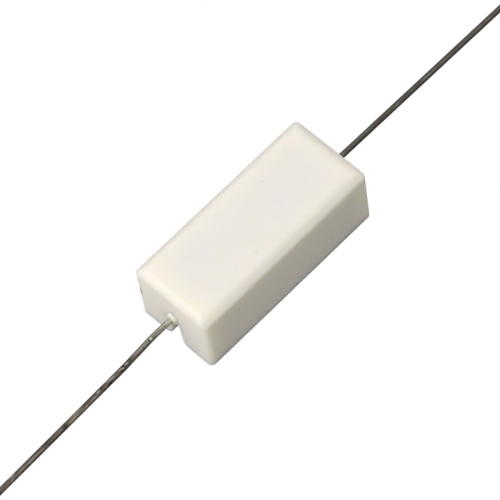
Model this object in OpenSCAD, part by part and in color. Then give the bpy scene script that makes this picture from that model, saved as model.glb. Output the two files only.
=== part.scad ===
// Wirewound power resistor in a slotted ceramic case filled with cement, with two axial wire leads.
// Lengths are in millimetres. X runs along the leads, from the near end to the far end, and Z is up.
// The case lies on its open rim at z = 0, and the origin is in the middle of that rim.

/* [Ceramic case] */
// Length of the case over its end walls
case_l = 22; // [19:0.5:30]
// Width of the case over its long walls
case_w = 9.35; // [8.4:0.05:12]
// Height of the case from its open rim to its closed top
case_h = 8.4; // [7.8:0.1:11]
// Thickness of the long walls at the rim
side_wall = 1.3; // [1:0.05:1.6]
// Thickness of the end walls at the rim
end_wall = 1.5; // [1.1:0.05:2]
// Thickness of the closed top
top_wall = 1.4; // [1:0.05:1.8]
// Draft of the four inner walls, in degrees
inner_draft = 1.2; // [0.5:0.1:2]
// Radius where the inner walls meet each other and the closed top
inner_r = 0.8; // [0.4:0.05:1]

/* [Edges of the case] */
// Height of the 45 degree shoulder round the top, and radius of the near end's edge, which is rounded
shoulder_h = 0.85; // [0.5:0.05:1.1]
// Radius that softens the shoulder into the top face
shoulder_r = 1.3; // [0.5:0.05:1.6]
// Radius of the four upright corners
corner_r = 0.6; // [0.55:0.05:0.75]
// Chamfer round the outside of the open rim
rim_chamfer = 0.12; // [0.05:0.01:0.25]

/* [Wire slots] */
// Space between a lead and the closed end of its slot
slot_gap = 0.18; // [0.16:0.01:0.3]
// Width of a slot where it meets the rim, before its lips are rounded
slot_mouth = 1.5; // [1.2:0.05:2.2]
// Radius of the rounded lips at the rim
lip_r = 0.6; // [0.4:0.05:0.9]
// Radius of the edges round a slot in the outer face
slot_edge_r = 0.3; // [0.25:0.05:0.35]

/* [Cement] */
// Depth of the cement's surface inside the rim
fill_recess = 0.4; // [0.2:0.05:0.8]
// Hollow in the middle of that surface, where the cement shrank
fill_hollow = 0.12; // [0.05:0.01:0.2]
// Cement between the top of the winding and the closed top of the case
top_cover = 0.42; // [0.3:0.02:0.8]
// Cement between an end cap and its end wall
end_cover = 1.5; // [1:0.1:2.5]
// How far the cement in a slot reaches below the lead's axis
plug_depth = 0.9; // [0.6:0.05:1.4]
// How far the cement in a slot stays behind the outer face
plug_recess = 0.08; // [0.04:0.01:0.12]
// Length of the collar that creeps out along each lead
collar_l = 0.25; // [0.15:0.05:0.5]
// Thickness of that collar at its thin end
collar_skin = 0.03; // [0.02:0.01:0.06]

/* [Resistance element] */
// Diameter of the ceramic core rod
core_d = 3.5; // [2.8:0.1:4]
// Wall of the pressed end caps
cap_wall = 0.25; // [0.2:0.05:0.35]
// Thickness of the closed end of a cap
cap_end = 0.3; // [0.2:0.05:0.5]
// Length of the skirt that grips the core
cap_skirt = 2.3; // [1.8:0.1:3]
// Radius round the closed end of a cap
cap_edge_r = 0.25; // [0.1:0.05:0.3]
// Diameter of the resistance wire
wire_d = 0.25; // [0.15:0.05:0.35]
// Turns of resistance wire
turns = 15; // [8:1:20]
// Length of each skirt that the wire is wound on and welded to
landing = 0.9; // [0.5:0.1:1.4]

/* [Leads] */
// Diameter of a lead
lead_d = 0.6; // [0.5:0.05:0.8]
// Length of a lead outside the case
lead_out = 35; // [20:1:45]
// Radius of the weld between a lead and its cap
weld_r = 0.75; // [0.6:0.05:1]
// Height of that weld
weld_h = 0.35; // [0.2:0.05:0.45]
// Way in which the leads sag, in degrees from straight down towards the front
sag_turn = 66; // [0:1:90]
// Distance from the case to the bend in the near lead
near_bend_at = 2.3; // [1:0.1:10]
// Angle of that bend
near_bend = 3.2; // [0.5:0.1:20]
// Straight length between that bend and the next, which turns back
near_mid = 3.5; // [1:0.1:10]
// Angle of the bend that turns back
near_back = 1.9; // [0.5:0.1:20]
// Angle at which the far lead leaves its cap, inside the cement
far_lean = 2.9; // [0.5:0.1:3.5]
// Angle by which the far lead turns back as it leaves the case
far_back = 3.5; // [0.5:0.1:20]
// Radius of the bends outside the case
bend_r = 12; // [3:0.5:20]
// Radius of the bends inside the cement
inner_bend_r = 6; // [2:0.5:8]

/* [Hidden] */
$fn = 96;
// Overshoot of a cutter past the face that it cuts, and the short one where a slot leaves little room
past = 1;
short_past = 0.1;
// Clear air under the wire, so that its flat facets stay off the core and the caps
wire_lift = 0.03;
// Clear space between the wire and the cement round it
wire_clear = 0.02;
// How much thinner the wire of a bend is, and the angle by which the bend is tucked into its neighbours
bend_thinner = 0.01;
bend_tuck = 0.3;
// Straight stretch of the far lead past its weld, before it bends
weld_room = 0.1;
// Facets round the wire, and rings in one turn
wire_sides = 6;
wire_steps = 20;

lead_r = lead_d / 2;
core_r = core_d / 2;
cap_r = core_r + cap_wall;
wire_band = wire_lift + wire_d + wire_clear;
// Half length of the core, and the plane of a cap's closed end
core_half = case_l / 2 - end_wall - end_cover - cap_end;
cap_face = core_half + cap_end;
// Inner edge of a skirt, half length of the winding, and the length in which the wire climbs onto a skirt
skirt_edge = core_half - cap_skirt;
wound_half = skirt_edge + landing;
ramp_l = 3 * wire_d;
// Height of the common axis of the leads and the element
axis_z = case_h - top_wall - top_cover - wire_band - cap_r;

// Slot: its closed end is round the lead, and its flanks lean out by slot_lean to the mouth
slot_r = lead_r + slot_gap;
mouth = slot_mouth / 2;
slot_lean = acos(slot_r / norm([mouth, axis_z])) - atan2(axis_z, mouth);
lip_y = mouth + (lip_r - lip_r * sin(slot_lean)) / cos(slot_lean);
flank_top = [slot_r * cos(slot_lean), axis_z + slot_r * sin(slot_lean)];
flank_foot = [lip_y - lip_r * cos(slot_lean), lip_r - lip_r * sin(slot_lean)];

// Straight stretch of each lead outside its last bend
near_end_l = lead_out - near_bend_at - near_mid - arc_l(bend_r, near_bend) - arc_l(bend_r, near_back);
far_end_l = lead_out - arc_l(inner_bend_r, far_back) / 2;
// The far lead's two inner bends, with their straight stretches, reach from its cap to the case's face
far_inner = case_l / 2 - cap_face - arc_l(inner_bend_r, far_lean) - arc_l(inner_bend_r, far_back) / 2;
far_first = weld_h + weld_room;

function arc_l(r, angle) = r * angle * PI / 180;
function unit(v) = v / norm(v);

// The sliver outside a fillet of radius r at the corner p, whose edges leave it along a and b
module corner_sliver(p, a, b, r) {
    half = acos(a * b) / 2;
    middle = unit(a + b);
    run = r / tan(half);
    difference() {
        polygon([p + a * run, p - middle * past, p + b * run]);
        translate(p + middle * r / sin(half)) circle(r);
    }
}

// Outline of the case seen along a wall, w wide there, before its top edges are shaped
module block_outline(w) {
    h = w / 2;
    polygon([
        [-h + rim_chamfer, 0], [h - rim_chamfer, 0], [h, rim_chamfer],
        [h, case_h], [-h, case_h], [-h, rim_chamfer]
    ]);
}

// What the shoulder takes off the top edge at x = h, and what softens it into the top face
module shoulder_cut(h) {
    polygon([
        [h - shoulder_h - past, case_h + past], [h + past, case_h + past],
        [h + past, case_h - shoulder_h - past]
    ]);
    corner_sliver([h - shoulder_h, case_h], [-1, 0], unit([1, -1]), shoulder_r);
}

// What rounding takes off the same edge
module round_cut(h) corner_sliver([h, case_h], [-1, 0], [0, -1], shoulder_h);

// Outline of the hollow seen along a wall, where the hollow is w wide at the rim
module hollow_outline(w) {
    top = case_h - top_wall;
    h = w / 2;
    narrow = top * tan(inner_draft);
    difference() {
        polygon([
            [-h - past * tan(inner_draft), -past], [h + past * tan(inner_draft), -past],
            [h - narrow, top], [narrow - h, top]
        ]);
        for (side = [-1, 1])
            corner_sliver([side * (h - narrow), top], [-side, 0], unit([side * narrow, -top]), inner_r);
    }
}

// Extrudes an outline of the YZ plane along X, or one of the XZ plane along Y
module along_x(l) rotate([90, 0, 90]) linear_extrude(l, center = true) children();
module along_y(l) rotate([90, 0, 0]) linear_extrude(l, center = true) children();

// The two upright corners of one end, turned from an outline whose top edge its child cuts
module upright_corners(end) {
    for (side = [-1, 1])
        translate([end * (case_l / 2 - corner_r), side * (case_w / 2 - corner_r), 0])
            rotate_extrude()
                intersection() {
                    translate([corner_r - case_w / 2, 0])
                        difference() {
                            block_outline(case_w);
                            children();
                        }
                    square([corner_r, case_h]);
                }
}

module case_body() {
    tall = case_h + 2 * past;
    intersection() {
        along_x(case_l)
            difference() {
                block_outline(case_w);
                shoulder_cut(case_w / 2);
                mirror([1, 0]) shoulder_cut(case_w / 2);
            }
        along_y(case_w)
            difference() {
                block_outline(case_l);
                shoulder_cut(case_l / 2);
                mirror([1, 0]) round_cut(case_l / 2);
            }
        union() {
            translate([0, 0, case_h / 2]) cube([case_l - 2 * corner_r, case_w + past, tall], center = true);
            translate([0, 0, case_h / 2]) cube([case_l + past, case_w - 2 * corner_r, tall], center = true);
            upright_corners(-1) round_cut(case_w / 2);
            upright_corners(1) shoulder_cut(case_w / 2);
        }
    }
}

module case_hollow() {
    l = case_l - 2 * end_wall;
    w = case_w - 2 * side_wall;
    intersection() {
        along_x(case_l) hollow_outline(w);
        along_y(case_w) hollow_outline(l);
        translate([0, 0, -past]) linear_extrude(case_h)
            difference() {
                square([l + past, w + past], center = true);
                for (sx = [-1, 1], sy = [-1, 1])
                    corner_sliver([sx * l / 2, sy * w / 2], [-sx, 0], [0, -sy], inner_r);
            }
    }
}

// A slot's outline in the end wall: round end, leaning flanks and rounded lips
module slot_outline() {
    translate([0, axis_z]) circle(slot_r);
    polygon([
        [-flank_foot.x, flank_foot.y], [flank_foot.x, flank_foot.y],
        flank_top, [-flank_top.x, flank_top.y]
    ]);
    difference() {
        polygon([
            [-flank_foot.x, flank_foot.y], [-lip_y, lip_r], [-lip_y, -past],
            [lip_y, -past], [lip_y, lip_r], [flank_foot.x, flank_foot.y]
        ]);
        for (side = [-1, 1]) translate([side * lip_y, lip_r]) circle(lip_r);
    }
}

// What rounding takes off a right-angled edge: x runs into the flank and y into the wall
module edge_sliver() {
    difference() {
        translate([-short_past, -past]) square([slot_edge_r + short_past, slot_edge_r + past]);
        translate([slot_edge_r, slot_edge_r]) circle(slot_edge_r);
    }
}

// The rounding of the outer edge along a slot's end, flanks and lips
module slot_edge_cut() {
    translate([0, axis_z, 0]) rotate([0, 0, slot_lean])
        rotate_extrude(angle = 180 - 2 * slot_lean) translate([slot_r, 0]) edge_sliver();
    for (side = [0, 1]) mirror([side, 0, 0]) {
        translate([flank_top.x, flank_top.y, 0]) rotate([90, 0, slot_lean])
            linear_extrude(norm(flank_top - flank_foot)) edge_sliver();
        translate([lip_y, lip_r, 0]) rotate([0, 0, 180 + slot_lean])
            rotate_extrude(angle = 90 - slot_lean)
                translate([lip_r, 0]) mirror([1, 0]) edge_sliver();
    }
}

// A slot cut in from the outer face, which lies at z = 0 here with the wall above it
module slot_cut() {
    translate([0, 0, -past]) linear_extrude(end_wall + 2 * past) slot_outline();
    slot_edge_cut();
}

// Puts a child that is drawn on the outer face of an end wall on both end walls
module on_end_walls() {
    for (side = [0, 1]) mirror([side, 0, 0])
        translate([-case_l / 2, 0, 0]) rotate([90, 0, 90]) children();
}

module ceramic_case() {
    color([0.94, 0.92, 0.88])
        difference() {
            case_body();
            case_hollow();
            on_end_walls() slot_cut();
        }
}

// Everything that the cement flows round: the caps and the bands that the winding turns in
module element_blank() {
    band_end = wound_half + wire_d / 2 + wire_clear;
    step_end = skirt_edge - ramp_l;
    translate([0, 0, axis_z]) rotate([0, 90, 0]) rotate_extrude() {
        translate([0, -step_end]) square([core_r + wire_band, 2 * step_end]);
        for (side = [0, 1]) mirror([0, side]) {
            cap_blank();
            translate([0, step_end]) square([cap_r + wire_band, band_end - step_end]);
        }
    }
}

module cap_blank() {
    difference() {
        translate([0, skirt_edge]) square([cap_r, cap_skirt + cap_end]);
        corner_sliver([cap_r, cap_face], [-1, 0], [0, -1], cap_edge_r);
    }
}

// The rough block of cement, before the case, the element and the leads shape it
module cement_block() {
    l = case_l - 2 * end_wall;
    w = case_w - side_wall;
    h = case_h - top_wall / 2 - fill_recess;
    translate([-l / 2, -w / 2, fill_recess]) cube([l, w, h]);
    plug_w = 2 * (mouth + slot_edge_r);
    on_end_walls() {
        translate([-plug_w / 2, axis_z - plug_depth, plug_recess])
            cube([plug_w, plug_depth + slot_r + slot_edge_r, end_wall + past - plug_recess]);
        translate([0, axis_z, 0]) collar();
    }
}

// The collar round a lead, with the outer face of the wall at z = 0
module collar() {
    foot = lead_r + collar_skin + collar_l;
    rotate_extrude()
        difference() {
            translate([0, -collar_l]) square([foot, collar_l + slot_edge_r]);
            translate([foot, -collar_l]) circle(collar_l);
        }
}

module cement_fill() {
    w = case_w - 2 * side_wall;
    dish_r = (w * w / 4 + fill_hollow * fill_hollow) / (2 * fill_hollow);
    color([0.86, 0.84, 0.79])
        difference() {
            cement_block();
            ceramic_case();
            translate([0, 0, fill_recess + fill_hollow - dish_r])
                rotate([0, 90, 0]) cylinder(h = case_l, r = dish_r, center = true);
            element_blank();
            lead_near();
            lead_far();
        }
}

module core_rod() {
    color([0.9, 0.88, 0.82])
        translate([-core_half, 0, axis_z]) rotate([0, 90, 0]) cylinder(h = 2 * core_half, r = core_r);
}

// A pressed cup on the core's end, drawn on the Z axis with its closed end up
module end_cap() {
    color([0.72, 0.71, 0.68])
        rotate_extrude()
            difference() {
                cap_blank();
                square([core_r, core_half]);
            }
}

module end_cap_far() translate([0, 0, axis_z]) rotate([0, 90, 0]) end_cap();
module end_cap_near() mirror([1, 0, 0]) end_cap_far();

// How far the wire has climbed from the core (0) onto a skirt (1), at the place x along the element
function climb(x) = min(1, max(0, (abs(x) - skirt_edge + ramp_l) / ramp_l));
// Distance from the element's axis to the middle of the wire there, with an eased climb
function wire_path_r(x) =
    let (s = climb(x)) core_r + wire_lift + wire_d / 2 + cap_wall * s * s * (3 - 2 * s);

// One point on the wire's skin: ring i along the winding, side j round the wire
function wire_point(i, j) =
    let (
        part = i / (turns * wire_steps),
        x = wound_half * (2 * part - 1),
        turn = 360 * turns * part,
        round = 360 * j / wire_sides,
        r = wire_path_r(x) + wire_d / 2 * cos(round)
    )
    [x + wire_d / 2 * sin(round), r * cos(turn), r * sin(turn)];

module resistance_winding() {
    rings = turns * wire_steps;
    last = rings * wire_sides;
    points = [for (i = [0 : rings], j = [0 : wire_sides - 1]) wire_point(i, j)];
    sides = [
        for (i = [0 : rings - 1], j = [0 : wire_sides - 1])
            let (a = i * wire_sides + j, b = i * wire_sides + (j + 1) % wire_sides)
            [a, a + wire_sides, b + wire_sides, b]
    ];
    first_end = [for (j = [0 : wire_sides - 1]) j];
    last_end = [for (j = [wire_sides - 1 : -1 : 0]) last + j];
    color([0.45, 0.42, 0.38])
        translate([0, 0, axis_z]) polyhedron(points, concat(sides, [first_end, last_end]));
}

// A bend of the lead that starts at the origin along Z and leans towards X, then what follows it.
// It is a hair thinner than the straight stretches, and is tucked into both.
module bend(r, angle) {
    translate([r, 0, 0]) rotate([90, 0, 0]) mirror([1, 0, 0]) rotate([0, 0, -bend_tuck])
        rotate_extrude(angle = angle + 2 * bend_tuck) translate([r, 0]) circle(lead_r - bend_thinner);
    translate([r - r * cos(angle), 0, r * sin(angle)]) rotate([0, angle, 0]) children();
}

// A straight stretch of the lead along Z, then what follows it
module straight(l) {
    cylinder(h = l, r = lead_r);
    translate([0, 0, l]) children();
}

// The bead that welds a lead to its cap
module weld_bead() {
    foot = lead_r + weld_h;
    rotate_extrude()
        difference() {
            square([min(weld_r, foot), weld_h]);
            translate([foot, weld_h]) circle(weld_h);
        }
}

// Puts a lead on its cap: Z becomes the far way along X, and X the way that the leads sag
module on_cap() translate([cap_face, 0, axis_z]) rotate([0, 90, 0]) rotate([0, 0, -sag_turn]) children();

module lead_near() {
    color([0.42, 0.4, 0.36])
        mirror([1, 0, 0]) on_cap() {
            weld_bead();
            straight(case_l / 2 - cap_face + near_bend_at)
                bend(bend_r, near_bend)
                    straight(near_mid)
                        rotate([0, 0, 180]) bend(bend_r, near_back)
                            straight(near_end_l);
        }
}

module lead_far() {
    color([0.42, 0.4, 0.36])
        on_cap() {
            weld_bead();
            rotate([0, 0, 180]) straight(far_first)
                bend(inner_bend_r, far_lean)
                    straight(far_inner - far_first)
                        rotate([0, 0, 180]) bend(inner_bend_r, far_back)
                            straight(far_end_l);
        }
}

ceramic_case();
cement_fill();
core_rod();
resistance_winding();
end_cap_near();
end_cap_far();
lead_near();
lead_far();
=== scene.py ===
"""The looks of a wirewound power resistor in a slotted ceramic case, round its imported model.

Lengths are written in millimetres and turned to metres with MM, other than those of the studio's
lights and floor, which are in metres. X runs along the leads, from the near end at the lower left of
the photograph to the far end, and Z is up from the case's open rim.
"""
import math

import bmesh
import bpy
from mathutils import Euler, Matrix, Vector, noise


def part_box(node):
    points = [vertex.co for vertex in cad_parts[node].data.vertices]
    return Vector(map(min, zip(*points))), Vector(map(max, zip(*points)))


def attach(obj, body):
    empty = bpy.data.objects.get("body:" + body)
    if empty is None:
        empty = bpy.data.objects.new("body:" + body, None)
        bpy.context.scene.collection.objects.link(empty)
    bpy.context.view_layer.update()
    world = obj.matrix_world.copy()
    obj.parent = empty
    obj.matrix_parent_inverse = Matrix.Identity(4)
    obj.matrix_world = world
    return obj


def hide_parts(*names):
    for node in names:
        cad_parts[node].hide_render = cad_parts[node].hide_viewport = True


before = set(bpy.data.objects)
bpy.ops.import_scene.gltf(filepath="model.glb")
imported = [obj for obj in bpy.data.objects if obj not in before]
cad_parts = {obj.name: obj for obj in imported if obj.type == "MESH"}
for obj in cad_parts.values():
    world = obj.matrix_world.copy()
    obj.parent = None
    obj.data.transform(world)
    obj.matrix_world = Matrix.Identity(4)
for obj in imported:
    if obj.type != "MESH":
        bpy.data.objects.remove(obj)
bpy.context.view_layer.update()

MM = 0.001

# The photograph's camera: where it stands round the part, and where the middle of the case falls
IMAGE_PX = 500
VIEW_AZIMUTH = -36.574
VIEW_ELEVATION = 60.979
VIEW_ROLL = -10.61
VIEW_DISTANCE = 350.12
AIM = Vector((0, 0, 4))
AIM_PX = (254.145, 242.283)
PX_PER_MM = 10.584
SENSOR = 36
CLIP_NEAR = 10
CLIP_FAR = 20000

# The case and the lead's axis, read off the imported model, in millimetres
case_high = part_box("ceramic_case")[1] / MM
cap_low, cap_high = (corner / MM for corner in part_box("end_cap_far"))
core_low, core_high = (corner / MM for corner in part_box("core_rod"))
AXIS_Z = (cap_low.z + cap_high.z) / 2
CAP_FACE = cap_high.x
CASE_END = case_high.x
CASE_TOP = case_high.z

# The leads: their size and bends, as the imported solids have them, with the bends in degrees. What is
# outside the case is a hair shorter than the solid's 35, so that the wires stay in its box.
LEAD_R = 0.3
LEAD_OUT = 34.999
LEAD_SIDES = 32
WELD_H = 0.35
SAG_TURN = 66
NEAR_BEND_AT = 2.3
NEAR_BEND = 3.2
NEAR_MID = 3.5
NEAR_BACK = 1.9
FAR_LEAN = 2.9
FAR_BACK = 3.5
FAR_FIRST = 0.45
OUTER_BEND_R = 12
INNER_BEND_R = 6
LEAD_TIP_ROUND = 0.07

# How far apart a lead's points lie: on its weld, on its straight stretches and on its tip
WELD_STEP = 0.05
STRAIGHT_STEP = 0.5
TIP_STEP = 0.012
BEND_PIECES = 8

# The winding: a round wire on the core, whose ends climb onto the caps' skirts. It is drawn a
# hair thinner than its solid, so that it keeps clear of both.
WIRE_R = 0.125
WIRE_SEEN_R = WIRE_R * 0.98
WIRE_SIDES = 12
WIRE_TURNS = 15
WIRE_LIFT = 0.03
WIRE_LANDING = 0.9
WIRE_RAMP = 6 * WIRE_R
WIRE_STEPS = 32


# Node trees

def put(tree, kind, inputs=None, **settings):
    """Adds a node to a tree with its settings, and sets or links its inputs."""
    made = tree.nodes.new(kind)
    for name, value in settings.items():
        setattr(made, name, value)
    for name, value in (inputs or {}).items():
        if isinstance(value, bpy.types.NodeSocket):
            tree.links.new(value, made.inputs[name])
        else:
            made.inputs[name].default_value = value
    return made


def new_tree(name, kind, inputs, outputs):
    """A node group with named sockets; gives the tree, its input values and its output sockets."""
    tree = bpy.data.node_groups.new(name, kind)
    for label, socket_type, value in inputs:
        socket = tree.interface.new_socket(label, in_out="INPUT", socket_type=socket_type)
        if value is not None:
            socket.default_value = value
    for label, socket_type in outputs:
        tree.interface.new_socket(label, in_out="OUTPUT", socket_type=socket_type)
    return tree, put(tree, "NodeGroupInput").outputs, put(tree, "NodeGroupOutput").inputs


def maths(tree, operation, *values):
    """One step of arithmetic on values that are numbers or sockets."""
    return put(tree, "ShaderNodeMath", dict(enumerate(values)), operation=operation).outputs[0]


def remap(tree, value, low, high, to_low=0.0, to_high=1.0):
    """Turns the range from low to high into the other range, without passing its ends."""
    sockets = {
        "Value": value, "From Min": low, "From Max": high, "To Min": to_low, "To Max": to_high}
    return put(tree, "ShaderNodeMapRange", sockets, clamp=True).outputs["Result"]


def blend_colours(tree, share, colour_a, colour_b):
    """Colour b over colour a by a share from 0 to 1."""
    sockets = {"Factor": share, 6: colour_a, 7: colour_b}
    return put(tree, "ShaderNodeMix", sockets, data_type="RGBA").outputs[2]


def scaled(tree, vector, factors):
    """A vector times its own factor along X, Y and Z."""
    sockets = {0: vector, 1: factors}
    return put(tree, "ShaderNodeVectorMath", sockets, operation="MULTIPLY").outputs[0]


def cloud(tree, vector, scale, detail=2.0, roughness=0.5):
    """Soft noise from 0 to 1, with scale in spots per metre."""
    sockets = {"Vector": vector, "Scale": scale, "Detail": detail, "Roughness": roughness}
    return put(tree, "ShaderNodeTexNoise", sockets).outputs["Fac"]


# Finishes that several materials share

# How close scratches on a wire lie, along it and across it
SCRATCHES_PER_METRE = (900.0, 5200.0, 5200.0)


def make_fired_grain():
    """The grain of a pressed and fired body: fine grain, broad unevenness and scattered pores."""
    tree, given, out = new_tree("fired_grain", "ShaderNodeTree", [
        ("Vector", "NodeSocketVector", None),
        ("Grain Size", "NodeSocketFloat", 0.1 * MM),
        ("Pore Size", "NodeSocketFloat", 0.4 * MM),
        ("Pore Share", "NodeSocketFloat", 0.1),
    ], [("Height", "NodeSocketFloat"), ("Pores", "NodeSocketFloat")])
    grain_scale = maths(tree, "DIVIDE", 1.0, given["Grain Size"])
    grain = cloud(tree, given["Vector"], grain_scale, detail=4.0, roughness=0.65)
    broad = cloud(tree, given["Vector"], maths(tree, "MULTIPLY", grain_scale, 0.12), detail=1.0)
    pore_scale = maths(tree, "DIVIDE", 1.0, given["Pore Size"])
    cells = put(tree, "ShaderNodeTexVoronoi", {
        "Vector": given["Vector"], "Scale": pore_scale, "Randomness": 1.0})
    near_centre = remap(tree, cells.outputs["Distance"], 0.1, 0.32, 1.0, 0.0)
    chance = put(tree, "ShaderNodeSeparateColor", {0: cells.outputs["Color"]}).outputs[0]
    chosen = maths(tree, "LESS_THAN", chance, given["Pore Share"])
    pores = maths(tree, "MULTIPLY", near_centre, chosen)
    relief = maths(tree, "ADD", maths(tree, "MULTIPLY", grain, 0.35),
                   maths(tree, "MULTIPLY", broad, 0.65))
    pitted = maths(tree, "SUBTRACT", relief, maths(tree, "MULTIPLY", pores, 0.8))
    tree.links.new(pitted, out["Height"])
    tree.links.new(pores, out["Pores"])
    return tree


def make_body_tint():
    """The uneven tint of a fired or set body: three near colours in soft patches."""
    tree, given, out = new_tree("body_tint", "ShaderNodeTree", [
        ("Vector", "NodeSocketVector", None),
        ("Patch Size", "NodeSocketFloat", 3 * MM),
        ("Main", "NodeSocketColor", (0.8, 0.8, 0.8, 1)),
        ("Warm", "NodeSocketColor", (0.8, 0.75, 0.7, 1)),
        ("Cool", "NodeSocketColor", (0.75, 0.8, 0.7, 1)),
    ], [("Color", "NodeSocketColor")])
    scale = maths(tree, "DIVIDE", 1.0, given["Patch Size"])
    warm = remap(tree, cloud(tree, given["Vector"], scale, 2.0), 0.42, 0.62)
    elsewhere = {0: given["Vector"], 1: (0.31, 0.17, 0.23)}
    shifted = put(tree, "ShaderNodeVectorMath", elsewhere).outputs[0]
    cool = remap(tree, cloud(tree, shifted, maths(tree, "MULTIPLY", scale, 1.4), 2.0), 0.47, 0.66)
    colour = blend_colours(tree, warm, given["Main"], given["Warm"])
    tree.links.new(blend_colours(tree, cool, colour, given["Cool"]), out["Color"])
    return tree


def make_drawn_wire():
    """Die lines along a drawn wire, blotches of dull oxide and a few bright scratches."""
    tree, given, out = new_tree("drawn_wire", "ShaderNodeTree", [
        ("Vector", "NodeSocketVector", None),
        ("Line Length", "NodeSocketFloat", 12 * MM),
        ("Line Width", "NodeSocketFloat", 0.08 * MM),
        ("Blotch Size", "NodeSocketFloat", 1.2 * MM),
    ], [("Lines", "NodeSocketFloat"), ("Oxide", "NodeSocketFloat"),
        ("Scratches", "NodeSocketFloat")])
    across = maths(tree, "DIVIDE", 1.0, given["Line Width"])
    along = maths(tree, "DIVIDE", 1.0, given["Line Length"])
    squeeze = put(tree, "ShaderNodeCombineXYZ", {"X": along, "Y": across, "Z": across}).outputs[0]
    lines = cloud(tree, scaled(tree, given["Vector"], squeeze), 1.0, detail=3.0, roughness=0.6)
    blotch_scale = maths(tree, "DIVIDE", 1.0, given["Blotch Size"])
    flat = scaled(tree, given["Vector"], (0.45, 1.0, 1.0))
    oxide = remap(tree, cloud(tree, flat, blotch_scale, detail=5.0, roughness=0.6), 0.35, 0.68)
    specks = cloud(tree, scaled(tree, given["Vector"], SCRATCHES_PER_METRE), 1.0, detail=1.0)
    tree.links.new(lines, out["Lines"])
    tree.links.new(oxide, out["Oxide"])
    tree.links.new(remap(tree, specks, 0.66, 0.76), out["Scratches"])
    return tree


def make_cement_film():
    """Where cement is left round the place at which a lead leaves the case.

    Reach is how far outside the wall the film breaks up into crumbs, and Wash is a thin even veil that
    goes three times as far out.
    """
    tree, given, out = new_tree("cement_film", "ShaderNodeTree", [
        ("Vector", "NodeSocketVector", None),
        ("Wall", "NodeSocketFloat", CASE_END * MM),
        ("Reach", "NodeSocketFloat", 3 * MM),
        ("Crumb Size", "NodeSocketFloat", 0.3 * MM),
    ], [("Film", "NodeSocketFloat"), ("Wash", "NodeSocketFloat")])
    parts = put(tree, "ShaderNodeSeparateXYZ", {0: given["Vector"]}).outputs
    beyond = maths(tree, "SUBTRACT", maths(tree, "ABSOLUTE", parts["X"]), given["Wall"])
    fading = maths(tree, "DIVIDE", beyond, given["Reach"])
    scale = maths(tree, "DIVIDE", 1.0, given["Crumb Size"])
    crumbs = cloud(tree, given["Vector"], scale, detail=5.0, roughness=0.7)
    edge = maths(tree, "SUBTRACT", crumbs, maths(tree, "MULTIPLY", fading, 0.55))
    tree.links.new(remap(tree, edge, 0.12, 0.42), out["Film"])
    thinning = remap(tree, fading, 0.0, 3.0, 1.0, 0.0)
    tree.links.new(maths(tree, "POWER", thinning, 1.3), out["Wash"])
    return tree


GRAIN = make_fired_grain()
TINT = make_body_tint()
DRAWN = make_drawn_wire()
FILM = make_cement_film()


def place(tree, group, inputs):
    """A shared finish, placed in a material with its own values."""
    return put(tree, "ShaderNodeGroup", inputs, node_tree=group)


def new_material(name):
    """A new material; gives it, its tree, its Principled shader and the places in the part."""
    material = bpy.data.materials.new(name)
    material.use_nodes = True
    tree = material.node_tree
    tree.nodes.clear()
    shader = put(tree, "ShaderNodeBsdfPrincipled")
    put(tree, "ShaderNodeOutputMaterial", {"Surface": shader.outputs[0]})
    coordinates = put(tree, "ShaderNodeTexCoord").outputs["Object"]
    return material, tree, shader, coordinates


def set_normal(tree, shader, height, distance, strength=1.0):
    """Feeds a height to the shader's normal, with its distance in millimetres."""
    sockets = {"Height": height, "Distance": distance * MM, "Strength": strength}
    bump = put(tree, "ShaderNodeBump", sockets)
    tree.links.new(bump.outputs[0], shader.inputs["Normal"])


def spot(tree, vector, middle, reach):
    """A soft mask from 1 to 0 in an ellipsoid round a place, both in millimetres."""
    moved = put(tree, "ShaderNodeVectorMath", {0: vector, 1: Vector(middle) * MM},
                operation="SUBTRACT").outputs[0]
    sized = scaled(tree, moved, tuple(1 / (r * MM) for r in reach))
    away = put(tree, "ShaderNodeVectorMath", {0: sized}, operation="LENGTH").outputs["Value"]
    return remap(tree, away, 0.35, 1.0, 1.0, 0.0)


def spots(tree, vector, marks):
    """The soft mask of several marks together."""
    mask = 0.0
    for mark in marks:
        mask = maths(tree, "MAXIMUM", mask, spot(tree, vector, *mark))
    return mask


# Marks on the case that the photograph shows: the place, and the reach along X, Y and Z. The last is
# painted shade, low on the near top rounding, which dims that edge's highlight.
# A dark dash on the near left upright edge
EDGE_DARK_DASH = ((-10.93, 4.25, 4.55), (0.27, 0.31, 1.25))
TOP_SPECK = ((3.8, 2.0, CASE_TOP), (0.14, 0.12, 0.2))
EDGE_NICK = ((10.5, 1.1, 8.3), (0.35, 0.4, 0.35))
PAINTED_EDGE_SHADE = ((-11.1, 0, 8.0), (0.8, 16, 0.75))
# Where cement was smeared over the near slot
SLOT_SMEAR = ((-CASE_END, -0.1, AXIS_Z + 0.2), (1.2, 0.95, 0.95))
# How dark each mark is, and how finely the dark dash on the near left upright edge is frayed
DASH_RAGS_PER_METRE = 2600.0
SPECK_SHARE = 0.15
NICK_SHARE = 0.12
DARK_MARK_SHARE = 0.95
# How strong the painted shade on the near top rounding is
PAINTED_EDGE_SHADE_SHARE = 0.9
# Marks on the near lead, in the same way: a bright dent, and dark pits beside it and farther out
LEAD_DENT = ((-13.95, -0.1, AXIS_Z + 0.22), (0.15, 0.2, 0.25))
LEAD_PITS = (
    ((-14.2, -0.12, AXIS_Z + 0.22), (0.1, 0.16, 0.2)),
    ((-15.08, -0.2, AXIS_Z + 0.14), (0.18, 0.13, 0.17)),
    ((-19.7, -0.45, AXIS_Z + 0.1), (0.6, 0.1, 0.12)),
)
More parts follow.
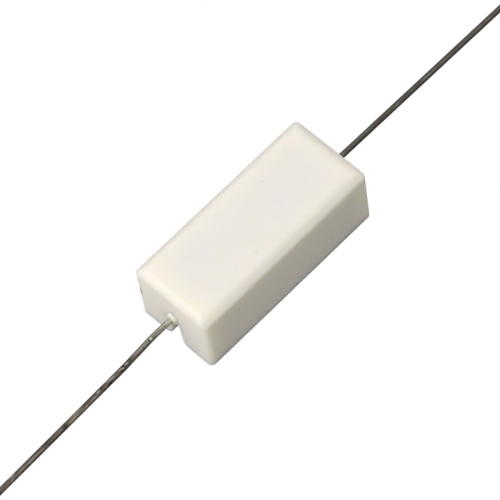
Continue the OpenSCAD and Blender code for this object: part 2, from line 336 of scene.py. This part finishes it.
# Painted glints: light dashes along the near lead's highlight line
LEAD_PAINTED_GLINTS = (
    ((-17.3, -0.21, AXIS_Z + 0.22), (0.35, 0.1, 0.15)),
    ((-18.1, -0.22, AXIS_Z + 0.21), (0.4, 0.08, 0.15)),
    ((-19.3, -0.26, AXIS_Z + 0.2), (0.6, 0.08, 0.15)),
    ((-21.1, -0.3, AXIS_Z + 0.18), (0.35, 0.09, 0.15)),
)
# How strong the painted glints are
GLINT_SHARE = 0.55

# How far light soaks into fired or set bodies, by colour
SOAK = (1.0, 0.85, 0.62)

# The case's tints, in the middle of its faces and towards its edges, its pores, its marks and painted
# shade
CASE_MIDDLE = {
    "Main": (0.912, 0.812, 0.738, 1), "Warm": (0.922, 0.805, 0.745, 1), "Cool": (0.89, 0.818, 0.73, 1)}
CASE_EDGES = {
    "Main": (0.868, 0.795, 0.705, 1), "Warm": (0.88, 0.795, 0.71, 1), "Cool": (0.86, 0.803, 0.695, 1)}
CASE_PORE = (0.45, 0.42, 0.36, 1)
SMEARED_CEMENT = (0.9, 0.9, 0.74, 1)
# The colour of the painted shade on the near top rounding
PAINTED_EDGE_SHADE_TINT = (0.8, 0.74, 0.67, 1)
DARK_MARK = (0.05, 0.048, 0.04, 1)


def case_dark_marks(tree, vector):
    """How dark the case is at each place, from the marks that the photograph shows: a dash on the near
    left upright edge, a speck and a nick.
    """
    rags = cloud(tree, vector, DASH_RAGS_PER_METRE, detail=3.0)
    ragged = remap(tree, rags, 0.3, 0.6, 0.35, 1.0)
    dark_dash = maths(tree, "MULTIPLY", spot(tree, vector, *EDGE_DARK_DASH), ragged)
    speck = maths(tree, "MULTIPLY", spot(tree, vector, *TOP_SPECK), SPECK_SHARE)
    nick = maths(tree, "MULTIPLY", spot(tree, vector, *EDGE_NICK), NICK_SHARE)
    return maths(tree, "MAXIMUM", maths(tree, "MAXIMUM", dark_dash, speck), nick)


def make_case_ceramic():
    """White unglazed ceramic: light soaks in a little, with fine grain, pores and faint tints."""
    material, tree, shader, place_in_part = new_material("case_ceramic_fired")
    grain = place(tree, GRAIN, {
        "Vector": place_in_part, "Grain Size": 0.12 * MM, "Pore Size": 1.1 * MM, "Pore Share": 0.1})
    parts = put(tree, "ShaderNodeSeparateXYZ", {0: place_in_part}).outputs
    by_side = remap(tree, maths(tree, "ABSOLUTE", parts["Y"]), 1.8 * MM, 4.2 * MM)
    by_end = remap(tree, maths(tree, "ABSOLUTE", parts["X"]),
                   (CASE_END - 2.4) * MM, (CASE_END - 0.8) * MM)
    by_edge = maths(tree, "MAXIMUM", by_side, by_end)
    tints = {name: blend_colours(tree, by_edge, CASE_MIDDLE[name], CASE_EDGES[name])
             for name in CASE_MIDDLE}
    tint = place(tree, TINT, {"Vector": place_in_part, "Patch Size": 4.5 * MM, **tints})
    film = place(tree, FILM, {
        "Vector": place_in_part, "Wall": (CASE_END - 0.4) * MM, "Reach": 3 * MM,
        "Crumb Size": 0.5 * MM})
    colour = blend_colours(tree, maths(tree, "MULTIPLY", grain.outputs["Pores"], 0.12),
                           tint.outputs["Color"], CASE_PORE)
    smear = maths(tree, "MULTIPLY", film.outputs["Film"], spot(tree, place_in_part, *SLOT_SMEAR))
    colour = blend_colours(tree, maths(tree, "MULTIPLY", smear, 0.9), colour, SMEARED_CEMENT)
    # Painted shade low on the near top rounding, which dims its highlight
    painted_edge_shade = maths(tree, "MULTIPLY", spot(tree, place_in_part, *PAINTED_EDGE_SHADE), PAINTED_EDGE_SHADE_SHARE)
    colour = blend_colours(tree, painted_edge_shade, colour, PAINTED_EDGE_SHADE_TINT)
    # The dark marks: a dash on the near left upright edge, a speck and a nick
    dark_marks = maths(tree, "MULTIPLY", case_dark_marks(tree, place_in_part), DARK_MARK_SHARE)
    colour = blend_colours(tree, dark_marks, colour, DARK_MARK)
    tree.links.new(colour, shader.inputs["Base Color"])
    rough = remap(tree, grain.outputs["Height"], 0.2, 0.7, 0.75, 0.6)
    tree.links.new(rough, shader.inputs["Roughness"])
    shader.inputs["Subsurface Weight"].default_value = 1.0
    shader.inputs["Subsurface Radius"].default_value = SOAK
    shader.inputs["Subsurface Scale"].default_value = 3 * MM
    shader.inputs["Specular IOR Level"].default_value = 0.15
    set_normal(tree, shader, grain.outputs["Height"], 0.03, 0.5)
    return material


def make_core_ceramic():
    """The core rod's plain off-white ceramic, ground round."""
    material, tree, shader, place_in_part = new_material("core_ceramic_fired")
    grain = place(tree, GRAIN, {
        "Vector": scaled(tree, place_in_part, (3.0, 1.0, 1.0)),
        "Grain Size": 0.16 * MM, "Pore Size": 0.8 * MM, "Pore Share": 0.2})
    tint = place(tree, TINT, {
        "Vector": place_in_part, "Patch Size": 3 * MM,
        "Main": (0.78, 0.75, 0.67, 1), "Warm": (0.79, 0.73, 0.65, 1), "Cool": (0.74, 0.74, 0.66, 1)})
    colour = blend_colours(tree, maths(tree, "MULTIPLY", grain.outputs["Pores"], 0.3),
                           tint.outputs["Color"], (0.4, 0.37, 0.31, 1))
    tree.links.new(colour, shader.inputs["Base Color"])
    rough = remap(tree, grain.outputs["Height"], 0.2, 0.7, 0.7, 0.55)
    tree.links.new(rough, shader.inputs["Roughness"])
    set_normal(tree, shader, grain.outputs["Height"], 0.04, 0.6)
    return material


# Quartz sand in the cement
SAND_GRAINS_PER_METRE = 5200.0
SAND_GRAIN = (0.46, 0.43, 0.37, 1)
CEMENT_PORE = (0.30, 0.27, 0.22, 1)


def make_cement():
    """Pale cement, coarse with quartz sand and set without polish."""
    material, tree, shader, place_in_part = new_material("cement_set")
    grain = place(tree, GRAIN, {
        "Vector": place_in_part, "Grain Size": 0.24 * MM, "Pore Size": 0.5 * MM, "Pore Share": 0.35})
    tint = place(tree, TINT, {
        "Vector": place_in_part, "Patch Size": 1.6 * MM,
        "Main": (0.80, 0.79, 0.68, 1), "Warm": (0.76, 0.72, 0.62, 1), "Cool": (0.82, 0.82, 0.70, 1)})
    sand = put(tree, "ShaderNodeTexVoronoi", {
        "Vector": place_in_part, "Scale": SAND_GRAINS_PER_METRE, "Randomness": 1.0})
    grey = put(tree, "ShaderNodeSeparateColor", {0: sand.outputs["Color"]}).outputs[0]
    colour = blend_colours(tree, remap(tree, grey, 0.8, 1.0, 0.0, 0.35),
                           tint.outputs["Color"], SAND_GRAIN)
    colour = blend_colours(tree, maths(tree, "MULTIPLY", grain.outputs["Pores"], 0.45),
                           colour, CEMENT_PORE)
    tree.links.new(colour, shader.inputs["Base Color"])
    shader.inputs["Roughness"].default_value = 0.92
    shader.inputs["Subsurface Weight"].default_value = 0.5
    shader.inputs["Subsurface Radius"].default_value = SOAK
    shader.inputs["Subsurface Scale"].default_value = 0.2 * MM
    shader.inputs["Specular IOR Level"].default_value = 0.2
    bumps = maths(tree, "SUBTRACT", grain.outputs["Height"],
                  maths(tree, "MULTIPLY", sand.outputs["Distance"], 0.5))
    set_normal(tree, shader, bumps, 0.09, 0.8)
    return material


# The leads' tin, its oxide, what lies on them and painted shade at their rims. The far lead is the
# duller one, and its tin is a darker copy of the near lead's, as painted shade.
NEAR_TIN = (0.4, 0.37, 0.31, 1)
FAR_TIN_SHADED = (0.17, 0.165, 0.14, 1)
NEAR_OXIDE = (0.06, 0.047, 0.037, 1)
FAR_OXIDE = (0.1, 0.09, 0.075, 1)
# Bright tin for the scratches and the dent, and the colour of the painted glints
SCRATCH_AND_GLINT_TIN = (0.75, 0.74, 0.68, 1)
PIT = (0.02, 0.018, 0.015, 1)
# Painted shade at the leads' rims, as the camera sees them
RIM_PAINTED_SHADE = (0.05, 0.045, 0.036, 1)
CEMENT_WASH = (0.5, 0.49, 0.42, 1)
CEMENT_CRUMBS = (0.66, 0.64, 0.54, 1)
NEAR_FILM_REACH = 2.1
FAR_FILM_REACH = 0.5


def lead_metal(tree, place_in_part, far_side, drawn, film):
    """The colour of the leads' metal, with its oxide, its marks, painted glints and the thin veil of
    cement.
    """
    # The far lead's tin is darker, as painted shade
    tin = blend_colours(tree, far_side, NEAR_TIN, FAR_TIN_SHADED)
    oxide = blend_colours(tree, far_side, NEAR_OXIDE, FAR_OXIDE)
    metal = blend_colours(tree, drawn.outputs["Oxide"], tin, oxide)
    metal = blend_colours(tree, remap(tree, drawn.outputs["Lines"], 0.42, 0.62), metal, oxide)
    wash = maths(tree, "MULTIPLY", film.outputs["Wash"], 0.75)
    metal = blend_colours(tree, wash, metal, CEMENT_WASH)
    worn = maths(tree, "MULTIPLY", drawn.outputs["Scratches"],
                 remap(tree, far_side, 0.0, 1.0, 1.0, 0.25))
    # Painted glints along the near lead's highlight line
    glints = maths(tree, "MULTIPLY", spots(tree, place_in_part, LEAD_PAINTED_GLINTS), GLINT_SHARE)
    dent = spot(tree, place_in_part, *LEAD_DENT)
    bright = maths(tree, "MAXIMUM", maths(tree, "MAXIMUM", worn, glints), dent)
    metal = blend_colours(tree, bright, metal, SCRATCH_AND_GLINT_TIN)
    return blend_colours(tree, spots(tree, place_in_part, LEAD_PITS), metal, PIT)


def make_lead_wire():
    """Tinned copper gone dull grey, with die lines, scratches and a film of cement by the case."""
    material, tree, shader, place_in_part = new_material("lead_wire_tinned")
    unbent = put(tree, "ShaderNodeAttribute", attribute_name="unbent").outputs["Vector"]
    drawn = place(tree, DRAWN, {
        "Vector": unbent, "Line Length": 6 * MM, "Line Width": 0.09 * MM, "Blotch Size": 0.8 * MM})
    side = put(tree, "ShaderNodeSeparateXYZ", {0: place_in_part}).outputs["X"]
    far_side = remap(tree, side, -MM, MM)
    reach = remap(tree, side, -MM, MM, NEAR_FILM_REACH * MM, FAR_FILM_REACH * MM)
    film = place(tree, FILM, {"Vector": place_in_part, "Reach": reach, "Crumb Size": 0.28 * MM})
    metal = lead_metal(tree, place_in_part, far_side, drawn, film)
    # Painted shade: the leads darken towards their rims, as the camera sees them
    slant = put(tree, "ShaderNodeLayerWeight", {"Blend": 0.5}).outputs["Facing"]
    metal = blend_colours(tree, remap(tree, slant, 0.3, 0.65, 0.0, 0.7), metal, RIM_PAINTED_SHADE)
    veil = maths(tree, "MULTIPLY", film.outputs["Film"],
                 remap(tree, drawn.outputs["Lines"], 0.4, 0.6, 0.35, 1.0))
    colour = blend_colours(tree, veil, metal, CEMENT_CRUMBS)
    tree.links.new(colour, shader.inputs["Base Color"])
    tree.links.new(remap(tree, veil, 0.2, 1.0, 0.85, 0.0), shader.inputs["Metallic"])
    dull = maths(tree, "ADD", remap(tree, drawn.outputs["Oxide"], 0.0, 1.0, 0.2, 0.42),
                 maths(tree, "MULTIPLY", far_side, 0.2))
    tree.links.new(maths(tree, "MAXIMUM", dull, maths(tree, "MULTIPLY", film.outputs["Film"], 0.9)),
                   shader.inputs["Roughness"])
    relief = maths(tree, "ADD", maths(tree, "MULTIPLY", drawn.outputs["Lines"], 0.4),
                   maths(tree, "MULTIPLY", film.outputs["Film"], 1.2))
    set_normal(tree, shader, relief, 0.03, 0.7)
    return material


def make_resistance_wire():
    """Drawn nickel alloy with a dull brown-grey oxide."""
    material, tree, shader, _ = new_material("resistance_wire_alloy")
    unbent = put(tree, "ShaderNodeAttribute", attribute_name="unbent").outputs["Vector"]
    drawn = place(tree, DRAWN, {
        "Vector": unbent, "Line Length": 6 * MM, "Line Width": 0.04 * MM, "Blotch Size": 0.9 * MM})
    metal = blend_colours(tree, drawn.outputs["Oxide"], (0.33, 0.31, 0.28, 1), (0.17, 0.15, 0.13, 1))
    metal = blend_colours(tree, drawn.outputs["Scratches"], metal, (0.6, 0.58, 0.54, 1))
    tree.links.new(metal, shader.inputs["Base Color"])
    shader.inputs["Metallic"].default_value = 1.0
    rough = remap(tree, drawn.outputs["Oxide"], 0.0, 1.0, 0.3, 0.5)
    tree.links.new(rough, shader.inputs["Roughness"])
    set_normal(tree, shader, drawn.outputs["Lines"], 0.01, 0.5)
    return material


def make_cap_steel():
    """Pressed steel cup, drawn along its axis and thinly tinned."""
    material, tree, shader, place_in_part = new_material("cap_steel_pressed")
    drawn = place(tree, DRAWN, {
        "Vector": place_in_part, "Line Length": 3 * MM, "Line Width": 0.12 * MM,
        "Blotch Size": 1.4 * MM})
    metal = blend_colours(tree, drawn.outputs["Oxide"], (0.62, 0.61, 0.58, 1), (0.42, 0.41, 0.38, 1))
    metal = blend_colours(tree, drawn.outputs["Scratches"], metal, (0.75, 0.74, 0.7, 1))
    tree.links.new(metal, shader.inputs["Base Color"])
    shader.inputs["Metallic"].default_value = 1.0
    rough = remap(tree, drawn.outputs["Oxide"], 0.0, 1.0, 0.28, 0.46)
    tree.links.new(rough, shader.inputs["Roughness"])
    set_normal(tree, shader, drawn.outputs["Lines"], 0.02, 0.5)
    return material


MATERIALS = {
    "case_ceramic": make_case_ceramic(),
    "core_ceramic": make_core_ceramic(),
    "cement": make_cement(),
    "lead_wire": make_lead_wire(),
    "resistance_wire": make_resistance_wire(),
    "cap_steel": make_cap_steel(),
}


# Pieces

def new_object(name, data):
    """An object in the scene for a mesh, a curve, a camera or a light."""
    made = bpy.data.objects.new(name, data)
    bpy.context.scene.collection.objects.link(made)
    return made


def make_plain(piece):
    """Turns a piece with modifiers into a plain mesh and takes the modifiers off."""
    bpy.context.view_layer.update()
    seen = piece.evaluated_get(bpy.context.evaluated_depsgraph_get())
    mesh = bpy.data.meshes.new_from_object(seen)
    name = piece.name
    bpy.data.objects.remove(piece)
    mesh.name = name
    return new_object(name, mesh)


def one_skin(node, name):
    """A copy of a CAD node's mesh whose loose triangles are joined into one skin."""
    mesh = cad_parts[node].data.copy()
    mesh.name = name
    if "custom_normal" in mesh.attributes:
        mesh.attributes.remove(mesh.attributes["custom_normal"])
    skin = bmesh.new()
    skin.from_mesh(mesh)
    bmesh.ops.remove_doubles(skin, verts=skin.verts, dist=0.001 * MM)
    skin.to_mesh(mesh)
    skin.free()
    return new_object(name, mesh)


def soften(piece, cell, rounds):
    """Gives a piece even cells of the given size and wears its edges round."""
    remesh = piece.modifiers.new("even_cells", "REMESH")
    remesh.mode = "VOXEL"
    remesh.voxel_size = cell * MM
    smooth = piece.modifiers.new("worn_edges", "SMOOTH")
    smooth.factor = 0.5
    smooth.iterations = rounds
    return make_plain(piece)


def shift_skin(mesh, depth_at):
    """Moves each point of a mesh along its normal by what depth_at gives for it, in millimetres."""
    normals = [vertex.normal.copy() for vertex in mesh.vertices]
    for vertex, normal in zip(mesh.vertices, normals):
        vertex.co += normal * depth_at(vertex.co / MM, normal) * MM
    mesh.update()


def dress(piece, material, body, *nodes):
    """Finishes a piece: smooth skin, its material, its body and the CAD nodes that it stands for."""
    piece.data.materials.clear()
    piece.data.materials.append(MATERIALS[material])
    piece.data.polygons.foreach_set("use_smooth", [True] * len(piece.data.polygons))
    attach(piece, body)
    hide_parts(*nodes)
    return piece


def in_spot(point, middle, reach):
    """How deep a point lies in an ellipsoid: 1 in the middle and 0 outside."""
    away = sum(((p - m) / r) ** 2 for p, m, r in zip(point, middle, reach))
    return max(0.0, 1 - away)


# The case's skin: its cells, how often its edges are worn, and the depths of its marks and waves
CASE_CELL = 0.12
CASE_ROUNDS = 3
CASE_DENTS = ((EDGE_DARK_DASH, 0.03), (TOP_SPECK, 0.02), (EDGE_NICK, 0.03))
WAVE_LENGTH = 3.2
WAVE_DEPTH = 0.016
RIPPLE_LENGTH = 0.8
RIPPLE_DEPTH = 0.005
RIPPLE_SHIFT = Vector((7, 3, 5))


def case_relief(point, normal):
    """The case's slight waves from pressing and firing, and its dents. It never stands proud."""
    wave = noise.noise(point / WAVE_LENGTH) - 1
    ripple = noise.noise(point / RIPPLE_LENGTH + RIPPLE_SHIFT) - 1
    dent = sum(depth * in_spot(point, *mark) for mark, depth in CASE_DENTS)
    return (wave * WAVE_DEPTH + ripple * RIPPLE_DEPTH) / 2 - dent


def make_case():
    """The ceramic trough: its CAD solid with worn edges and an uneven skin."""
    case = soften(one_skin("ceramic_case", "case_ceramic_shell"), CASE_CELL, CASE_ROUNDS)
    shift_skin(case.data, case_relief)
    return dress(case, "case_ceramic", "root", "ceramic_case")


# The cement's skin: its cells, how often its edges are worn, and how deep its sand goes, which is more
# on the open side that was levelled by hand
CEMENT_CELL = 0.12
CEMENT_ROUNDS = 2
SAND_LENGTH = 0.35
SAND_DEPTH = 0.035
SAND_MIDDLE = 0.6
OPEN_SIDE = 1.6

# The bead of cement squeezed out over each lead's root, and the drop that hangs under it
BEAD_DEPTH = 0.2
BEAD_REACH = (0.6, 0.8, 0.7)
BEAD_HEIGHT = 0.25
DROP_DEPTH = 0.2
DROP_REACH = (0.6, 0.7, 0.5)
DROP_OUT = 0.1
DROP_HEIGHT = -0.4


def cement_relief(point, normal):
    """The cement's sandy skin, with a bead over each lead and a drop under it."""
    rougher = OPEN_SIDE if normal.z < -0.5 else 1.0
    sand = (noise.fractal(point / SAND_LENGTH, 1.0, 2.0, 3) - SAND_MIDDLE) * SAND_DEPTH * rougher
    bead_at = (math.copysign(CASE_END, point.x), 0, AXIS_Z + BEAD_HEIGHT)
    drop_at = (math.copysign(CASE_END + DROP_OUT, point.x), 0, AXIS_Z + DROP_HEIGHT)
    return sand + max(BEAD_DEPTH * in_spot(point, bead_at, BEAD_REACH),
                      DROP_DEPTH * in_spot(point, drop_at, DROP_REACH))


def make_cement_piece():
    """The cement: its CAD solid with a sandy skin, the beads and the drops."""
    cement = soften(one_skin("cement_fill", "cement_filling"), CEMENT_CELL, CEMENT_ROUNDS)
    shift_skin(cement.data, cement_relief)
    return dress(cement, "cement", "root", "cement_fill")


# Wires that follow a path

def make_wire_tree():
    """Sweeps a round section along a path and keeps each point's place on the unbent wire."""
    tree, given, out = new_tree("drawn_wire_on_path", "GeometryNodeTree", [
        ("Geometry", "NodeSocketGeometry", None),
        ("Section Radius", "NodeSocketFloat", LEAD_R * MM),
        ("Section Sides", "NodeSocketInt", LEAD_SIDES),
        ("Finish", "NodeSocketMaterial", None),
    ], [("Geometry", "NodeSocketGeometry")])
    length = put(tree, "GeometryNodeSplineParameter").outputs["Length"]
    path = put(tree, "GeometryNodeCaptureAttribute", {"Geometry": given["Geometry"]}, domain="POINT")
    path.capture_items.new("FLOAT", "along")
    tree.links.new(length, path.inputs["along"])
    circle = put(tree, "GeometryNodeCurvePrimitiveCircle", {
        "Resolution": given["Section Sides"], "Radius": given["Section Radius"]})
    section = put(tree, "GeometryNodeCaptureAttribute", {"Geometry": circle.outputs["Curve"]},
                  domain="POINT")
    section.capture_items.new("VECTOR", "across")
    tree.links.new(put(tree, "GeometryNodeInputPosition").outputs[0], section.inputs["across"])
    swept = put(tree, "GeometryNodeCurveToMesh", {
        "Curve": path.outputs["Geometry"], "Profile Curve": section.outputs["Geometry"],
        "Fill Caps": True})
    across = put(tree, "ShaderNodeSeparateXYZ", {0: section.outputs["across"]}).outputs
    unbent = put(tree, "ShaderNodeCombineXYZ", {
        "X": path.outputs["along"], "Y": across["X"], "Z": across["Y"]}).outputs[0]
    kept = put(tree, "GeometryNodeStoreNamedAttribute", {
        "Geometry": swept.outputs[0], "Name": "unbent", "Value": unbent},
        data_type="FLOAT_VECTOR", domain="POINT")
    real = put(tree, "GeometryNodeRealizeInstances", {0: kept.outputs[0]})
    finished = put(tree, "GeometryNodeSetMaterial", {
        "Geometry": real.outputs[0], "Material": given["Finish"]})
    tree.links.new(finished.outputs[0], out["Geometry"])
    return tree


WIRE_TREE = make_wire_tree()


def sweep_wire(name, stops, radius, sides, finish):
    """A wire along stops, each a point in millimetres and the share of the radius that it has there."""
    curve = bpy.data.curves.new(name, "CURVE")
    curve.dimensions = "3D"
    spline = curve.splines.new("POLY")
    spline.points.add(len(stops) - 1)
    for target, (point, thickness) in zip(spline.points, stops):
        target.co = (*(point * MM), 1)
        target.radius = thickness
    piece = new_object(name, curve)
    sweep = piece.modifiers.new("sweep", "NODES")
    sweep.node_group = WIRE_TREE
    values = {"Section Radius": radius * MM, "Section Sides": sides, "Finish": MATERIALS[finish]}
    for item in WIRE_TREE.interface.items_tree:
        if item.in_out == "INPUT" and item.name in values:
            sweep[item.identifier] = values[item.name]
    return make_plain(piece)


class LeadPath:
    """The centre line of a lead as it is bent up, from its cap outwards along its own Z."""

    def __init__(self, towards):
        """Starts on a cap: the near one where towards is -1, and the far one where it is 1."""
        outwards = Euler((0, math.radians(90), 0)).to_matrix()
        turn = outwards @ Euler((0, 0, math.radians(-SAG_TURN))).to_matrix()
        self.place = Matrix.Translation((CAP_FACE, 0, AXIS_Z)) @ turn.to_4x4()
        self.flip = Vector((towards, 1, 1))
        self.points = []
        self.lengths = []
        self.run = 0.0
        self.mark()

    def mark(self):
        """Keeps the place that the path has come to, and its length so far."""
        self.points.append(self.place.translation * self.flip)
        self.lengths.append(self.run)

    def straight(self, length, step=STRAIGHT_STEP):
        """Runs straight on, with points no further apart than the step."""
        pieces = max(1, math.ceil(length / step))
        for _ in range(pieces):
            self.place = self.place @ Matrix.Translation((0, 0, length / pieces))
            self.run += length / pieces
            self.mark()
        return self

    def bend(self, radius, degrees, pieces=BEND_PIECES):
        """Bends towards the local X for positive degrees, and away from it for negative ones."""
        part = math.radians(degrees) / pieces
        side = math.copysign(radius, degrees)
        for _ in range(pieces):
            move = Vector((side * (1 - math.cos(part)), 0, radius * math.sin(abs(part))))
            self.place = self.place @ Matrix.Translation(move) @ Matrix.Rotation(part, 4, "Y")
            self.run += radius * abs(part)
            self.mark()
        return self


def arc_rise(radius, run):
    """How far a quarter circle stands off at a length from its start, where it stands off most."""
    return radius - math.sqrt(max(0.0, radius ** 2 - (radius - run) ** 2))


def lead_thickness(run, whole):
    """A lead's share of its radius at a length from its cap: the weld's fillet, and a soft tip."""
    if run < WELD_H:
        return 1 + arc_rise(WELD_H, run) / LEAD_R
    left = whole - run
    if left < LEAD_TIP_ROUND:
        return 1 - arc_rise(LEAD_TIP_ROUND, left) / LEAD_R
    return 1.0


def make_lead(name, node, path):
    """A lead swept along its path, in place of its CAD node."""
    stops = [(point, lead_thickness(run, path.run))
             for point, run in zip(path.points, path.lengths)]
    lead = sweep_wire(name, stops, LEAD_R, LEAD_SIDES, "lead_wire")
    return dress(lead, "lead_wire", "root", node)


def make_leads():
    """Both leads. The near one sags in two bends; the far one leans inside and turns at the wall."""
    inside = CASE_END - CAP_FACE
    near = LeadPath(-1)
    near.straight(WELD_H, WELD_STEP).straight(inside + NEAR_BEND_AT - WELD_H)
    near.bend(OUTER_BEND_R, NEAR_BEND).straight(NEAR_MID).bend(OUTER_BEND_R, -NEAR_BACK)
    near.straight(inside + LEAD_OUT - near.run - LEAD_TIP_ROUND).straight(LEAD_TIP_ROUND, TIP_STEP)
    far = LeadPath(1)
    far_turn_in = math.radians(FAR_LEAN) * INNER_BEND_R
    far_turn_out = math.radians(FAR_BACK) * INNER_BEND_R
    far.straight(WELD_H, WELD_STEP).straight(FAR_FIRST - WELD_H).bend(INNER_BEND_R, -FAR_LEAN)
    far.straight(inside - far_turn_in - far_turn_out / 2 - FAR_FIRST).bend(INNER_BEND_R, FAR_BACK)
    far.straight(inside + LEAD_OUT - far.run - LEAD_TIP_ROUND).straight(LEAD_TIP_ROUND, TIP_STEP)
    make_lead("lead_near_wire", "lead_near", near)
    make_lead("lead_far_wire", "lead_far", far)


def make_winding():
    """The resistance wire: even turns on the core, whose ends climb onto the caps' skirts."""
    skirt_edge = cap_low.x
    half = skirt_edge + WIRE_LANDING
    core_r = (core_high.z - core_low.z) / 2
    wall = (cap_high.z - cap_low.z) / 2 - core_r
    stops = []
    for step in range(WIRE_TURNS * WIRE_STEPS + 1):
        share = step / (WIRE_TURNS * WIRE_STEPS)
        x = half * (2 * share - 1)
        climb = min(1, max(0, (abs(x) - skirt_edge + WIRE_RAMP) / WIRE_RAMP))
        r = core_r + WIRE_LIFT + WIRE_R + wall * climb * climb * (3 - 2 * climb)
        turn = math.tau * WIRE_TURNS * share
        stops.append((Vector((x, r * math.cos(turn), AXIS_Z + r * math.sin(turn))), 1.0))
    wire = sweep_wire("resistance_wire_wound", stops, WIRE_SEEN_R, WIRE_SIDES, "resistance_wire")
    return dress(wire, "resistance_wire", "root", "resistance_winding")


def finish_cad_nodes():
    """The core and the caps keep their CAD shape and get their finish."""
    for node, material in (("core_rod", "core_ceramic"), ("end_cap_near", "cap_steel"),
                           ("end_cap_far", "cap_steel")):
        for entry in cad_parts[node].material_slots:
            entry.material = MATERIALS[material]


make_case()
make_cement_piece()
make_leads()
make_winding()
finish_cad_nodes()


# The studio

# How much of its light the floor gives back, and half its width
FLOOR_TINT = (0.12, 0.12, 0.11, 1)
FLOOR_HALF = 1.5
WORLD_TINT = (1, 0.985, 0.86, 1)
WORLD_STRENGTH = 0.505
# The soft boxes: the direction in which each stands, its distance, its size, its watts and its tint
SOFT_LIGHTS = {
    "key_light": ((-0.65, 0, 0.76), 0.3, 0.2, 0.185, (1, 1, 1.13)),
    "near_light": ((-1, 0, 0.1), 0.4, 0.6, 1.57, (1, 1, 1)),
    "top_light": ((0, 0, 1), 0.5, 1.0, 1.16, (1, 0.98, 1.11)),
    "right_light": ((1, 0, 0.6), 0.7, 0.5, 0.85, (1, 0.97, 1.15)),
    "back_light": ((0, 1, 0.6), 0.7, 0.5, 0.3, (0.95, 1, 1.05)),
}


def view_axes():
    """The camera's right, up and forward directions for the photograph's view."""
    azimuth, elevation, roll = (math.radians(a) for a in (VIEW_AZIMUTH, VIEW_ELEVATION, VIEW_ROLL))
    back = Vector((math.sin(azimuth) * math.cos(elevation),
                   -math.cos(azimuth) * math.cos(elevation),
                   math.sin(elevation)))
    level_right = (-back).cross(Vector((0, 0, 1))).normalized()
    level_up = level_right.cross(-back)
    right = level_right * math.cos(roll) + level_up * math.sin(roll)
    up = level_up * math.cos(roll) - level_right * math.sin(roll)
    return right, up, -back


def make_camera():
    """The camera that sees the part as the photograph does."""
    right, up, forward = view_axes()
    aside = (AIM_PX[0] - IMAGE_PX / 2) / PX_PER_MM
    below = (AIM_PX[1] - IMAGE_PX / 2) / PX_PER_MM
    stand = AIM - forward * VIEW_DISTANCE - right * aside + up * below
    data = bpy.data.cameras.new("photo_camera")
    data.sensor_width = SENSOR
    data.lens = SENSOR * PX_PER_MM * VIEW_DISTANCE / IMAGE_PX
    data.clip_start = CLIP_NEAR * MM
    data.clip_end = CLIP_FAR * MM
    camera = new_object("photo_camera", data)
    turn = Matrix((right, up, -forward)).transposed()
    camera.matrix_world = Matrix.Translation(stand * MM) @ turn.to_4x4()
    bpy.context.scene.camera = camera


def make_floor():
    """A plain floor that shows evenly white to the camera and throws little light on the part."""
    material = bpy.data.materials.new("studio_floor")
    material.use_nodes = True
    tree = material.node_tree
    tree.nodes.clear()
    lit = put(tree, "ShaderNodeBsdfDiffuse", {"Color": FLOOR_TINT})
    shown = put(tree, "ShaderNodeEmission", {"Color": (1, 1, 1, 1), "Strength": 1.0})
    seen = put(tree, "ShaderNodeLightPath").outputs["Is Camera Ray"]
    mixed = put(tree, "ShaderNodeMixShader", {0: seen, 1: lit.outputs[0], 2: shown.outputs[0]})
    put(tree, "ShaderNodeOutputMaterial", {"Surface": mixed.outputs[0]})
    mesh = bpy.data.meshes.new("floor")
    corners = [(x * FLOOR_HALF, y * FLOOR_HALF, 0) for x, y in ((-1, -1), (1, -1), (1, 1), (-1, 1))]
    mesh.from_pydata(corners, [], [(0, 1, 2, 3)])
    mesh.materials.append(material)
    floor = new_object("floor", mesh)


def add_soft_light(name, towards, distance, size, watts, colour):
    """A square soft box that looks at the case from a direction, with sizes in metres."""
    data = bpy.data.lights.new(name, "AREA")
    data.shape = "SQUARE"
    data.size = size
    data.energy = watts
    data.color = colour
    lamp = new_object(name, data)
    direction = Vector(towards).normalized()
    turn = direction.to_track_quat("Z", "Y").to_matrix().to_4x4()
    lamp.matrix_world = Matrix.Translation(direction * distance + AIM * MM) @ turn


def make_world():
    """The even light that comes from all round."""
    world = bpy.data.worlds.new("studio")
    world.use_nodes = True
    background = world.node_tree.nodes["Background"]
    background.inputs["Color"].default_value = WORLD_TINT
    background.inputs["Strength"].default_value = WORLD_STRENGTH
    bpy.context.scene.world = world


make_camera()
make_floor()
make_world()
for light_name, light in SOFT_LIGHTS.items():
    add_soft_light(light_name, *light)
bpy.context.scene.view_settings.view_transform = "Standard"
